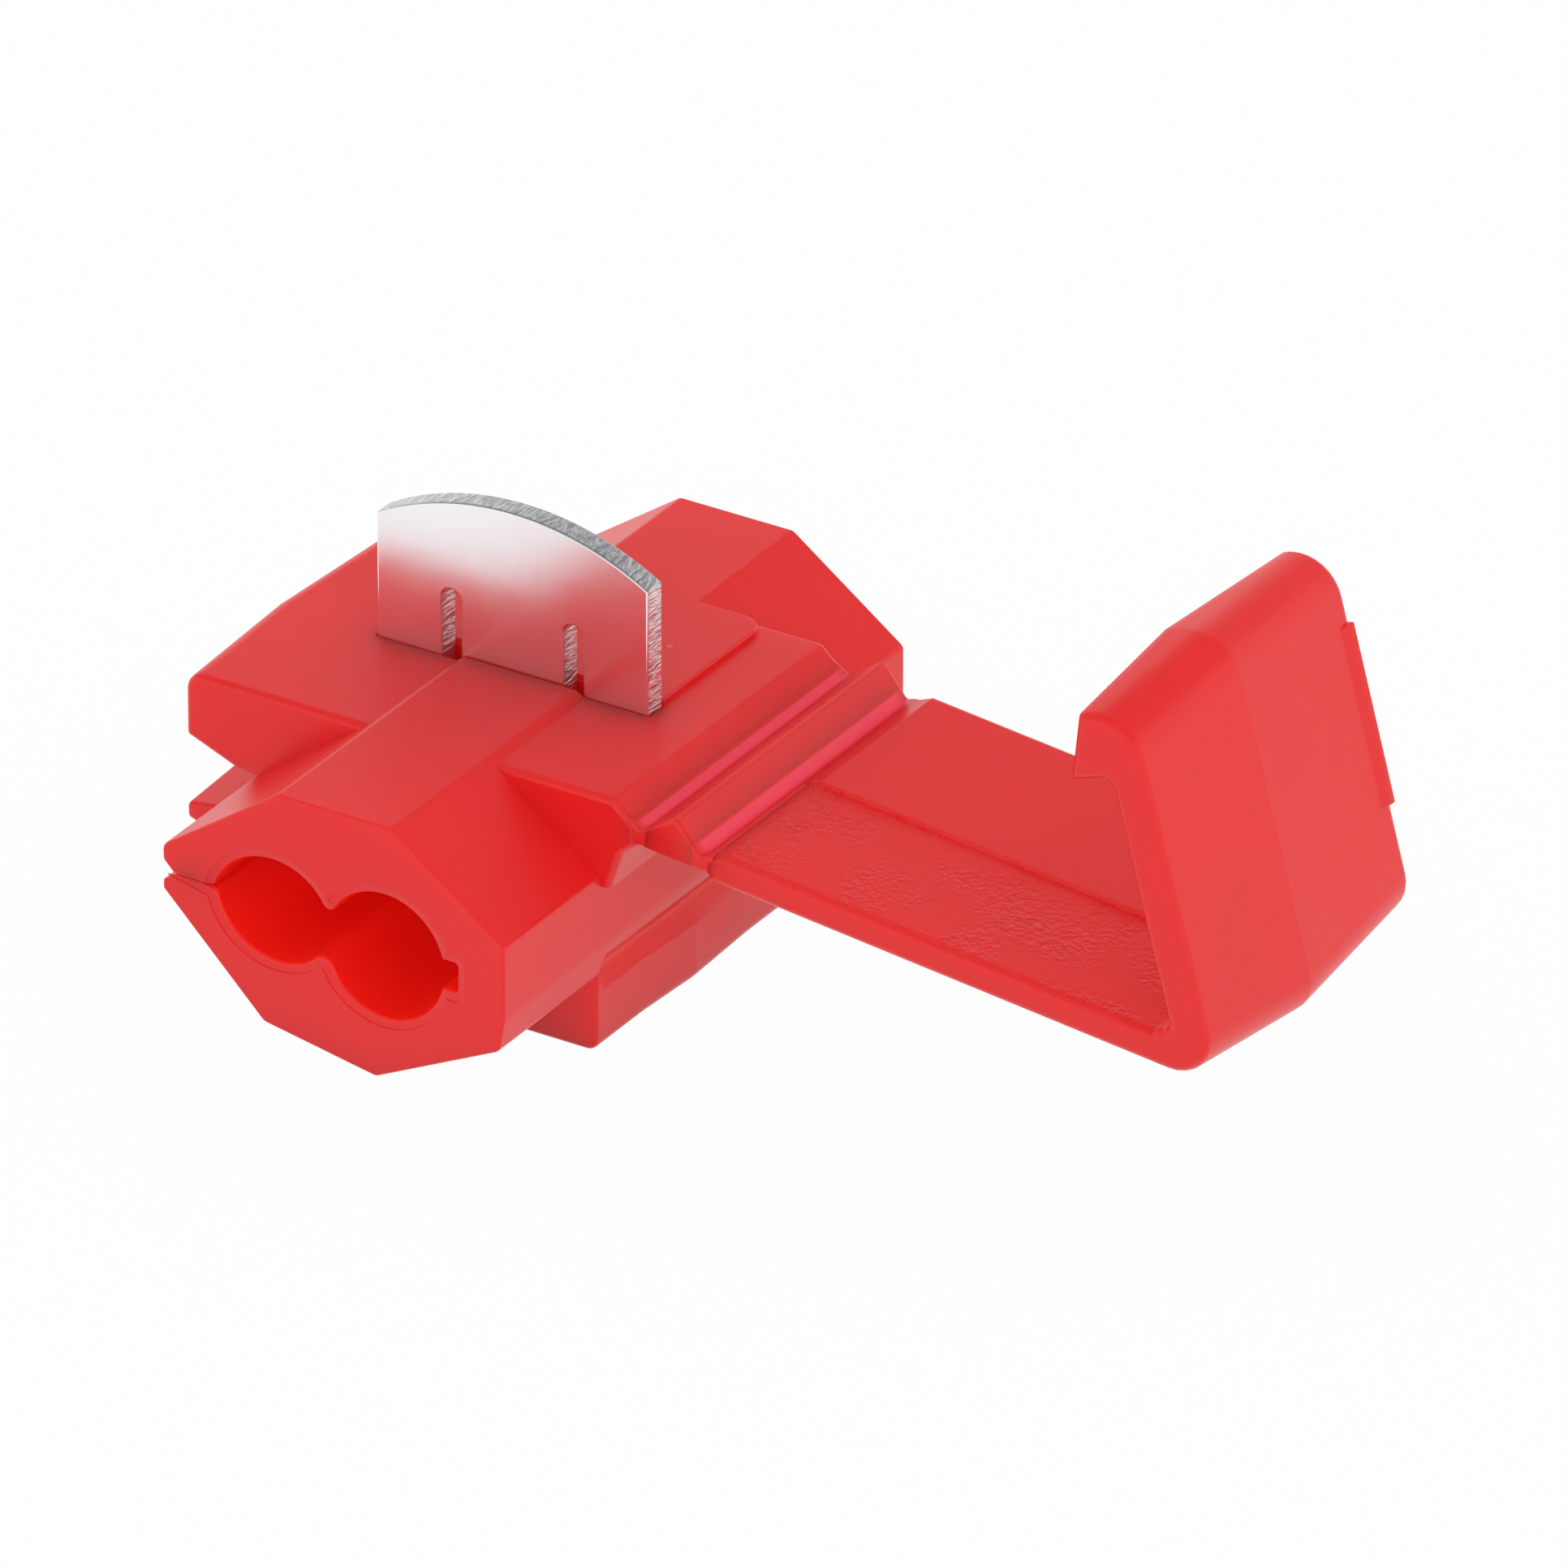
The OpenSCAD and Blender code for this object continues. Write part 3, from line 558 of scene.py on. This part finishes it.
def moulded_group(specks):
    """Moulded surface: flow marks, fine grain, pale scuffs and dark specks, as colour, roughness and height.
    It also paints a glow: where its glow mask is high, a brighter red colour that is also emitted, in place of light.
    """
    tree, inp, out = group(
        "moulded_surface",
        [("Color", "NodeSocketColor", (0.6, 0.02, 0.02, 1)), ("Painted Glow Color", "NodeSocketColor", (0.9, 0.01, 0.0, 1)),
         ("Roughness", "NodeSocketFloat", 0.35), ("Grain", "NodeSocketFloat", 1.0),
         ("Stipple", "NodeSocketFloat", 0.0), ("Painted Glow", "NodeSocketFloat", 0.0)],
        [("Color", "NodeSocketColor"), ("Roughness", "NodeSocketFloat"), ("Height", "NodeSocketFloat"),
         ("Glow", "NodeSocketColor")])
    at = tree.nodes.new("ShaderNodeTexCoord").outputs["Object"]
    cloudy = node(tree, "ShaderNodeTexNoise", {"Vector": at, "Scale": 160.0, "Detail": 3.0, "Roughness": 0.5})
    fine = node(tree, "ShaderNodeTexNoise", {"Vector": at, "Scale": 5200.0, "Detail": 2.0, "Roughness": 0.6})
    pebble = node(tree, "ShaderNodeTexNoise", {"Vector": at, "Scale": 5600.0, "Detail": 1.5, "Roughness": 0.5})
    patch = node(tree, "ShaderNodeTexNoise", {"Vector": at, "Scale": 380.0, "Detail": 2.0})
    scuff = node(tree, "ShaderNodeGroup", {"Vector": at, "Scale": 420.0, "Size": 0.06, "Share": 0.12}, node_tree=specks)
    dark = node(tree, "ShaderNodeGroup", {"Vector": at, "Scale": 300.0, "Size": 0.045, "Share": 0.1}, node_tree=specks)
    tone = node(tree, "ShaderNodeHueSaturation",
                {"Color": inp["Color"], "Value": node(tree, "ShaderNodeMapRange", {
                    "Value": cloudy.outputs["Fac"], "From Min": 0.3, "From Max": 0.7,
                    "To Min": 0.95, "To Max": 1.05}).outputs["Result"]})
    paler = node(tree, "ShaderNodeMix", {"Factor": math_node(tree, "MULTIPLY", scuff.outputs["Mask"], 0.35),
                                         6: tone.outputs["Color"], 7: (0.85, 0.30, 0.28, 1)}, data_type="RGBA")
    darker = node(tree, "ShaderNodeMix", {"Factor": math_node(tree, "MULTIPLY", dark.outputs["Mask"], 0.6),
                                          6: paler.outputs[2], 7: (0.16, 0.01, 0.012, 1)}, data_type="RGBA")
    rough = math_node(tree, "MULTIPLY_ADD", cloudy.outputs["Fac"], 0.12, inp["Roughness"])
    rough = math_node(tree, "MULTIPLY_ADD", inp["Stipple"], 0.1, rough)
    grain = math_node(tree, "MULTIPLY", math_node(tree, "SUBTRACT", fine.outputs["Fac"], 0.5), inp["Grain"])
    worn = math_node(tree, "MULTIPLY", inp["Stipple"], ramp(tree, patch.outputs["Fac"], 0.34, 0.6))
    bumps = math_node(tree, "MULTIPLY", math_node(tree, "SUBTRACT", pebble.outputs["Fac"], 0.5), worn)
    height = math_node(tree, "MULTIPLY_ADD", bumps, 44.0, grain)
    height = math_node(tree, "MULTIPLY_ADD", scuff.outputs["Mask"], 1.5, height)
    # Painted glow: where the glow mask is high, the colour moves to a brighter red and the same red is emitted, in
    # place of light that comes through the walls.
    glow_tinted = node(tree, "ShaderNodeMix", {"Factor": inp["Painted Glow"], 6: darker.outputs[2], 7: inp["Painted Glow Color"]},
                  data_type="RGBA")
    glow = node(tree, "ShaderNodeMix", {"Factor": inp["Painted Glow"], 6: (0, 0, 0, 1), 7: inp["Painted Glow Color"]},
                data_type="RGBA")
    tree.links.new(glow_tinted.outputs[2], out["Color"])
    tree.links.new(rough, out["Roughness"])
    tree.links.new(height, out["Height"])
    tree.links.new(glow.outputs[2], out["Glow"])
    return tree


def plastic_material(look, surface, name="red_polypropylene", mask_input=None, mask=None, thin=False):
    """Translucent satin plastic: one Principled shader that scatters light under the surface. The thin webs
    don't scatter, because their meshes are too thin, and are painted paler, with a glow, in the groove where they bend,
    in place of light. A mask attribute of the piece may feed one input of the pattern; the channels' and the grooves'
    masks feed the painted glow."""
    made = bpy.data.materials.new(name)
    made.use_nodes = True
    tree = made.node_tree
    shader = tree.nodes["Principled BSDF"]
    pattern = node(tree, "ShaderNodeGroup", {
        "Color": (*look.plastic_color, 1), "Painted Glow Color": (*(look.groove_light_color if thin else look.painted_glow_color), 1),
        "Roughness": look.plastic_roughness, "Grain": look.grain}, node_tree=surface)
    if mask:
        reader = node(tree, "ShaderNodeAttribute", attribute_name=mask)
        tree.links.new(reader.outputs["Fac"], pattern.inputs[mask_input])
    bump = node(tree, "ShaderNodeBump", {"Height": pattern.outputs["Height"], "Strength": 0.4, "Distance": 0.00001})
    tree.links.new(pattern.outputs["Color"], shader.inputs["Base Color"])
    tree.links.new(pattern.outputs["Roughness"], shader.inputs["Roughness"])
    # Painted glow: this emission stands in for light that comes through the walls.
    tree.links.new(pattern.outputs["Glow"], shader.inputs["Emission Color"])
    tree.links.new(bump.outputs["Normal"], shader.inputs["Normal"])
    shader.inputs["Emission Strength"].default_value = look.glow
    shader.inputs["IOR"].default_value = 1.5
    shader.inputs["Subsurface Weight"].default_value = 0.0 if thin else look.scatter
    shader.inputs["Subsurface Radius"].default_value = (1.0, 0.06, 0.05)
    shader.inputs["Subsurface Scale"].default_value = look.scatter_depth
    return made


def plated_group():
    """Tin plating: faint cloudy roughness on the faces, and on the punched sides ridges that run through
    the thickness, from noise that is stretched along y."""
    tree, inp, out = group(
        "tin_plating",
        [("Color", "NodeSocketColor", (0.8, 0.8, 0.82, 1)), ("Roughness", "NodeSocketFloat", 0.2),
         ("Sheared", "NodeSocketFloat", 0.0)],
        [("Color", "NodeSocketColor"), ("Roughness", "NodeSocketFloat"), ("Height", "NodeSocketFloat")])
    at = tree.nodes.new("ShaderNodeTexCoord").outputs["Object"]
    long = node(tree, "ShaderNodeMapping", {"Vector": at, "Scale": (1.0, 0.22, 1.0), "Rotation": (0.35, 0.0, 0.25)})
    ridges = node(tree, "ShaderNodeTexNoise", {"Vector": long.outputs["Vector"], "Scale": 8200.0, "Detail": 3.0, "Roughness": 0.6})
    drawn = node(tree, "ShaderNodeMapping", {"Vector": at, "Scale": (1.0, 1.0, 0.08)})
    lines = node(tree, "ShaderNodeTexNoise", {"Vector": drawn.outputs["Vector"], "Scale": 3800.0, "Detail": 3.0, "Roughness": 0.6})
    cloudy = node(tree, "ShaderNodeTexNoise", {"Vector": at, "Scale": 420.0, "Detail": 4.0, "Roughness": 0.6})
    crest = ramp(tree, ridges.outputs["Fac"], 0.36, 0.62)
    shade = node(tree, "ShaderNodeMix", {"Factor": math_node(tree, "MULTIPLY", inp["Sheared"], math_node(tree, "SUBTRACT", 1.0, crest)),
                                         6: inp["Color"], 7: (0.66, 0.66, 0.68, 1)}, data_type="RGBA")
    rough = math_node(tree, "MULTIPLY_ADD", cloudy.outputs["Fac"], 0.14, inp["Roughness"])
    rough = math_node(tree, "MULTIPLY_ADD", inp["Sheared"], 0.12, rough)
    flat = math_node(tree, "MULTIPLY", lines.outputs["Fac"], 0.12)
    flat = math_node(tree, "MULTIPLY_ADD", cloudy.outputs["Fac"], 0.6, flat)
    height = math_node(tree, "MULTIPLY_ADD", math_node(tree, "MULTIPLY", crest, inp["Sheared"]), 3.0, flat)
    tree.links.new(shade.outputs[2], out["Color"])
    tree.links.new(rough, out["Roughness"])
    tree.links.new(height, out["Height"])
    return tree


def plated_material(look, surface):
    """Bright tin-plated metal with sheared sides."""
    made = bpy.data.materials.new("tin_plate")
    made.use_nodes = True
    tree = made.node_tree
    shader = tree.nodes["Principled BSDF"]
    mask = node(tree, "ShaderNodeAttribute", attribute_name="sheared")
    pattern = node(tree, "ShaderNodeGroup", {"Color": (*look.metal_color, 1), "Roughness": look.metal_roughness,
                                             "Sheared": mask.outputs["Fac"]}, node_tree=surface)
    bump = node(tree, "ShaderNodeBump", {"Height": pattern.outputs["Height"], "Strength": 0.5, "Distance": 0.00002})
    tree.links.new(pattern.outputs["Color"], shader.inputs["Base Color"])
    tree.links.new(pattern.outputs["Roughness"], shader.inputs["Roughness"])
    tree.links.new(bump.outputs["Normal"], shader.inputs["Normal"])
    shader.inputs["Metallic"].default_value = 1.0
    return made


def kept_material(name):
    """A material that an earlier operator made."""
    found = bpy.data.materials.get(name)
    if found is None:
        raise RuntimeError(f"run the finishes operator first: there is no material {name}")
    return found


# ---- settings ----

class HousingSizes(bpy.types.PropertyGroup):
    sleeve_length: bpy.props.FloatProperty(
        name="Sleeve length", description="Length of the wire sleeve", subtype="DISTANCE", unit="LENGTH", precision=5,
        default=(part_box("housing")[1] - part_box("housing")[0]).y)
    block_length: bpy.props.FloatProperty(
        name="Block length", description="Length of the block, the ridge and the cover along the wires",
        subtype="DISTANCE", unit="LENGTH", precision=5, default=(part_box("hinge_link")[1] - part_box("hinge_link")[0]).y)
    edge_radius: bpy.props.FloatProperty(
        name="Edge radius", description="Rounding of the sleeve's ends", subtype="DISTANCE", unit="LENGTH",
        precision=5, default=0.00008)
    lead_in: bpy.props.FloatProperty(
        name="Lead-in", description="Width of the bevel round each channel's mouth", subtype="DISTANCE",
        unit="LENGTH", precision=5, default=0.00026)


class CoverSizes(bpy.types.PropertyGroup):
    leg_lean: bpy.props.FloatProperty(
        name="Leg lean", description="Angle by which the leg leans in over the panel", subtype="ANGLE",
        unit="ROTATION", default=math.radians(21))
    panel_thickness: bpy.props.FloatProperty(
        name="Panel thickness", description="Thickness of the panel at its ends", subtype="DISTANCE", unit="LENGTH",
        precision=5, default=0.00102)
    corner_radius: bpy.props.FloatProperty(
        name="Corner radius", description="Outer radius between panel and leg", subtype="DISTANCE", unit="LENGTH",
        precision=5, default=0.0011)
    recess_depth: bpy.props.FloatProperty(
        name="Recess depth", description="Depth of the front half of the panel's inner face", subtype="DISTANCE",
        unit="LENGTH", precision=5, default=0.00012)


class BladeSizes(bpy.types.PropertyGroup):
    thickness: bpy.props.FloatProperty(
        name="Thickness", description="Thickness of the contact plate", subtype="DISTANCE", unit="LENGTH",
        precision=5, default=(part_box("contact_plate")[1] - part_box("contact_plate")[0]).y)
    slot_width: bpy.props.FloatProperty(
        name="Slot width", description="Width of the wire slots", subtype="DISTANCE", unit="LENGTH",
        precision=5, default=0.0006)
    crown: bpy.props.FloatProperty(
        name="Crown", description="Rise of the arched top above the plate's ends", subtype="DISTANCE",
        unit="LENGTH", precision=5, default=0.00117)


class Finishes(bpy.types.PropertyGroup):
    plastic_color: bpy.props.FloatVectorProperty(
        name="Plastic", description="Colour of the moulding", subtype="COLOR", size=3, min=0, max=1,
        default=(0.88, 0.018, 0.019))
    # Colour of the painted light in the webs' grooves: a paler red that is also emitted there, in place of light.
    groove_light_color: bpy.props.FloatVectorProperty(
        name="Painted groove light", description="Colour of the webs, which let more light through", subtype="COLOR", size=3,
        min=0, max=1, default=(1.0, 0.05, 0.10))
    # Colour of the painted glow in the channels and in the hollow over the foot flange.
    painted_glow_color: bpy.props.FloatVectorProperty(
        name="Painted glow colour", description="Colour inside the channels, which is that of light that came through the walls",
        subtype="COLOR", size=3, min=0, max=1, default=(0.95, 0.018, 0.010))
    # Strength of the painted emission in the channels, the hollow over the foot flange and the webs' grooves.
    glow: bpy.props.FloatProperty(
        name="Wall glow", description="How much light comes through the walls into the channels", min=0, max=1,
        default=0.07)
    plastic_roughness: bpy.props.FloatProperty(
        name="Plastic roughness", description="Roughness of the moulding", subtype="FACTOR", min=0, max=1, default=0.30)
    grain: bpy.props.FloatProperty(
        name="Grain", description="Height of the fine moulded grain", min=0, max=3, default=0.6)
    scatter: bpy.props.FloatProperty(
        name="Scatter", description="Share of light that scatters under the surface", subtype="FACTOR", min=0, max=1,
        default=0.85)
    scatter_depth: bpy.props.FloatProperty(
        name="Scatter depth", description="How far light travels under the surface", subtype="DISTANCE",
        unit="LENGTH", precision=5, default=0.0026)
    metal_color: bpy.props.FloatVectorProperty(
        name="Metal", description="Colour of the plating", subtype="COLOR", size=3, min=0, max=1,
        default=(0.92, 0.92, 0.945))
    metal_roughness: bpy.props.FloatProperty(
        name="Metal roughness", description="Roughness of the plating", subtype="FACTOR", min=0, max=1, default=0.17)


class StageLook(bpy.types.PropertyGroup):
    azimuth: bpy.props.FloatProperty(
        name="Azimuth", description="Camera's angle round the object", subtype="ANGLE", unit="ROTATION",
        default=math.radians(32.14))
    elevation: bpy.props.FloatProperty(
        name="Elevation", description="Camera's angle above the horizon", subtype="ANGLE", unit="ROTATION",
        default=math.radians(28.45))
    distance: bpy.props.FloatProperty(
        name="Distance", description="Camera's distance from where it looks", subtype="DISTANCE", unit="LENGTH",
        default=0.6307)
    target: bpy.props.FloatVectorProperty(
        name="Target", description="Where the camera looks", subtype="TRANSLATION", unit="LENGTH", precision=5,
        default=(0.00551, 0.00359, 0.00420))
    lens: bpy.props.FloatProperty(
        name="Lens", description="Focal length on a 36 mm sensor, in millimetres", default=540.2)
    sky: bpy.props.FloatProperty(name="Sky", description="Strength of the even light", default=0.98)
    ceiling: bpy.props.FloatProperty(
        name="Ceiling", description="Strength that glossy surfaces see overhead, where the studio is darker", default=0.22)
    key: bpy.props.FloatProperty(name="Key lamp", description="Power of the main soft lamp", default=0.36)


class SpliceSettings(bpy.types.PropertyGroup):
    housing: bpy.props.PointerProperty(type=HousingSizes)
    cover: bpy.props.PointerProperty(type=CoverSizes)
    blade: bpy.props.PointerProperty(type=BladeSizes)
    finishes: bpy.props.PointerProperty(type=Finishes)
    stage: bpy.props.PointerProperty(type=StageLook)


# ---- operators ----

class SPLICE_OT_finishes(bpy.types.Operator):
    """Makes the plastic and the plating, and gives them to the CAD nodes too"""
    bl_idname = "splice.finishes"
    bl_label = "Finishes"

    def execute(self, context):
        look = context.scene.splice.finishes
        moulded = moulded_group(specks_group())
        plastic = plastic_material(look, moulded)
        plastic_material(look, moulded, "red_polypropylene_stippled", mask_input="Stipple", mask="stipple")
        # This material carries the painted glow of the channels and of the hollow over the foot flange.
        plastic_material(look, moulded, "red_polypropylene_painted_glow", mask_input="Painted Glow", mask="painted_glow_mask")
        # The webs' material paints their grooves paler and glowing, in place of light.
        plastic_material(look, moulded, "red_polypropylene_thin", mask_input="Painted Glow", mask="painted_groove_light", thin=True)
        plated = plated_material(look, plated_group())
        for name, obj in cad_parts.items():
            obj.data.materials.clear()
            obj.data.materials.append(plated if name == "contact_plate" else plastic)
        return {"FINISHED"}


class SPLICE_OT_housing(bpy.types.Operator):
    """Builds the housing with its sleeve, channels, wings, foot and pad"""
    bl_idname = "splice.housing"
    bl_label = "Housing"

    def execute(self, context):
        sizes = context.scene.splice.housing
        body = sleeve_shell(sizes)
        for shell in (block_upper_shell(sizes), block_lower_shell(sizes), rear_pad_shell(sizes)):
            combine(body, shell, "UNION")
        for tool in (cove_shell(sizes), slot_shell()):
            combine(body, tool, "DIFFERENCE")
        finish_surface(body, kept_material("red_polypropylene_painted_glow"), 26)
        # Mask of the painted glow in the channels and the hollow over the foot flange.
        mark_channel_glow(body, sizes)
        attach(body, "base_body")
        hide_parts("housing")
        return {"FINISHED"}


class SPLICE_OT_blade(bpy.types.Operator):
    """Builds the slotted contact plate"""
    bl_idname = "splice.blade"
    bl_label = "Contact plate"

    def execute(self, context):
        blade = blade_shell(context.scene.splice.blade)
        finish_surface(blade, kept_material("tin_plate"), 14)
        mark_sheared(blade)
        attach(blade, "plate")
        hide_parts("contact_plate")
        return {"FINISHED"}


class SPLICE_OT_hinge(bpy.types.Operator):
    """Builds the ridge and the two living hinges beside it"""
    bl_idname = "splice.hinge"
    bl_label = "Double hinge"

    def execute(self, context):
        sizes = context.scene.splice.housing
        plastic = kept_material("red_polypropylene")
        ridge = finish_surface(ridge_shell(sizes), plastic)
        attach(ridge, "link")
        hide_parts("hinge_link")
        webs = (
            ("inner_web", FOLD, -FALL / 2, (0.811, 0.004), (0.724, 0.002), "base_body", "link"),
            ("outer_web", SECOND_FOLD, -FALL, (1.083, -0.016), (0.529, -0.028), "link", "lid"),
        )
        for name, fold, lean, left, right, first, other in webs:
            web = finish_surface(web_shell(name, sizes, fold, lean, left, right), kept_material("red_polypropylene_thin"))
            # Mask of the painted light in the web's groove.
            mark_groove_light(web)
            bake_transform(web)
        return {"FINISHED"}


class SPLICE_OT_cover(bpy.types.Operator):
    """Builds the latch cover with its recess, leg, hook and strip"""
    bl_idname = "splice.cover"
    bl_label = "Latch cover"

    def execute(self, context):
        settings = context.scene.splice
        cover = cover_shell(settings.housing, settings.cover)
        combine(cover, leg_strip_shell(settings.cover), "UNION")
        finish_surface(cover, kept_material("red_polypropylene_stippled"), 24)
        mark_stipple(cover)
        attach(cover, "lid")
        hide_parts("cover")
        return {"FINISHED"}


class SPLICE_OT_stage(bpy.types.Operator):
    """Makes the floor, the even light, the soft lamps and the camera"""
    bl_idname = "splice.stage"
    bl_label = "Stage"

    def execute(self, context):
        look = context.scene.splice.stage
        scene = context.scene
        floor_mesh = bpy.data.meshes.new("floor")
        floor_mesh.from_pydata([(-3, -3, -2e-5), (3, -3, -2e-5), (3, 3, -2e-5), (-3, 3, -2e-5)], [], [(0, 1, 2, 3)])
        floor = bpy.data.objects.new("floor", floor_mesh)
        scene.collection.objects.link(floor)
        paper = bpy.data.materials.new("white_sweep")
        paper.use_nodes = True
        tree = paper.node_tree
        shader = tree.nodes["Principled BSDF"]
        shader.inputs["Base Color"].default_value = (0.9, 0.9, 0.9, 1)
        shader.inputs["Roughness"].default_value = 0.9
        shader.inputs["Specular IOR Level"].default_value = 0.1
        path = tree.nodes.new("ShaderNodeLightPath").outputs
        seen = math_node(tree, "MAXIMUM", path["Is Camera Ray"], path["Is Glossy Ray"])
        seen = math_node(tree, "MAXIMUM", seen, path["Is Transmission Ray"])
        glow = node(tree, "ShaderNodeEmission", {"Color": (1, 1, 1, 1), "Strength": 1.0})
        mixed = node(tree, "ShaderNodeMixShader", {0: math_node(tree, "MULTIPLY", seen, 0.98),
                                                   1: shader.outputs[0], 2: glow.outputs[0]})
        tree.links.new(mixed.outputs[0], tree.nodes["Material Output"].inputs["Surface"])
        floor_mesh.materials.append(paper)

        world = bpy.data.worlds.new("studio")
        scene.world = world
        world.use_nodes = True
        tree = world.node_tree
        sky = tree.nodes["Background"]
        sky.inputs["Color"].default_value = (1, 1, 1, 1)
        path = tree.nodes.new("ShaderNodeLightPath").outputs
        seen = math_node(tree, "MAXIMUM", path["Is Camera Ray"], path["Is Transmission Ray"])
        ray = node(tree, "ShaderNodeSeparateXYZ", {"Vector": tree.nodes.new("ShaderNodeTexCoord").outputs["Generated"]})
        high = ramp(tree, ray.outputs["Z"], 0.15, 0.7)
        ceiling = math_node(tree, "MULTIPLY_ADD", high, look.ceiling - 1.0, 1.0)
        seen = math_node(tree, "MAXIMUM", seen, math_node(tree, "MULTIPLY", path["Is Glossy Ray"], ceiling))
        lit = math_node(tree, "SUBTRACT", 1.0, math_node(tree, "MAXIMUM", path["Is Glossy Ray"], path["Is Camera Ray"]))
        lit = math_node(tree, "MULTIPLY", lit, math_node(tree, "MULTIPLY_ADD", high, -0.24 * look.sky, look.sky))
        strength = math_node(tree, "MAXIMUM", seen, lit)
        tree.links.new(strength, sky.inputs["Strength"])

        lamps = (("key_lamp", (0.35, -0.75, 0.5), 0.7, look.key), ("side_lamp", (0.95, -0.35, 0.05), 0.7, look.key * 2.4))
        for name, place, size, power in lamps:
            data = bpy.data.lights.new(name, "AREA")
            data.shape, data.size, data.energy = "DISK", size, power
            lamp = bpy.data.objects.new(name, data)
            lamp.location = place
            lamp.rotation_mode = "QUATERNION"
            lamp.rotation_quaternion = (Vector((0.006, 0, 0.004)) - lamp.location).to_track_quat("-Z", "Y")
            lamp.visible_camera = lamp.visible_glossy = False
            scene.collection.objects.link(lamp)

        data = bpy.data.cameras.new("camera")
        data.lens, data.sensor_width = look.lens, 36.0
        data.clip_start, data.clip_end = 0.01, 10.0
        camera = bpy.data.objects.new("camera", data)
        a, e = look.azimuth, look.elevation
        back = Vector((math.sin(a) * math.cos(e), -math.cos(a) * math.cos(e), math.sin(e)))
        camera.location = Vector(look.target) + back * look.distance
        camera.rotation_mode = "QUATERNION"
        camera.rotation_quaternion = (-back).to_track_quat("-Z", "Y")
        scene.collection.objects.link(camera)
        scene.camera = camera
        scene.view_settings.view_transform = "Standard"
        return {"FINISHED"}


class SPLICE_PT_panel(bpy.types.Panel):
    """Lists the splice's operators in the order in which they are run"""
    bl_idname = "SPLICE_PT_panel"
    bl_label = "Wire Splice"
    bl_space_type = "VIEW_3D"
    bl_region_type = "UI"
    bl_category = "Wire Splice"

    def draw(self, context):
        for step in STEPS:
            self.layout.operator(step.bl_idname)


STEPS = (SPLICE_OT_finishes, SPLICE_OT_housing, SPLICE_OT_blade, SPLICE_OT_hinge, SPLICE_OT_cover, SPLICE_OT_stage)
CLASSES = (HousingSizes, CoverSizes, BladeSizes, Finishes, StageLook, SpliceSettings, *STEPS, SPLICE_PT_panel)


def register():
    for item in CLASSES:
        bpy.utils.register_class(item)
    bpy.types.Scene.splice = bpy.props.PointerProperty(type=SpliceSettings)


def unregister():
    del bpy.types.Scene.splice
    for item in reversed(CLASSES):
        bpy.utils.unregister_class(item)


def main():
    """Runs the operators in order."""
    register()
    for step in STEPS:
        group_name, name = step.bl_idname.split(".")
        getattr(getattr(bpy.ops, group_name), name)()


if __name__ == "__main__":
    main()
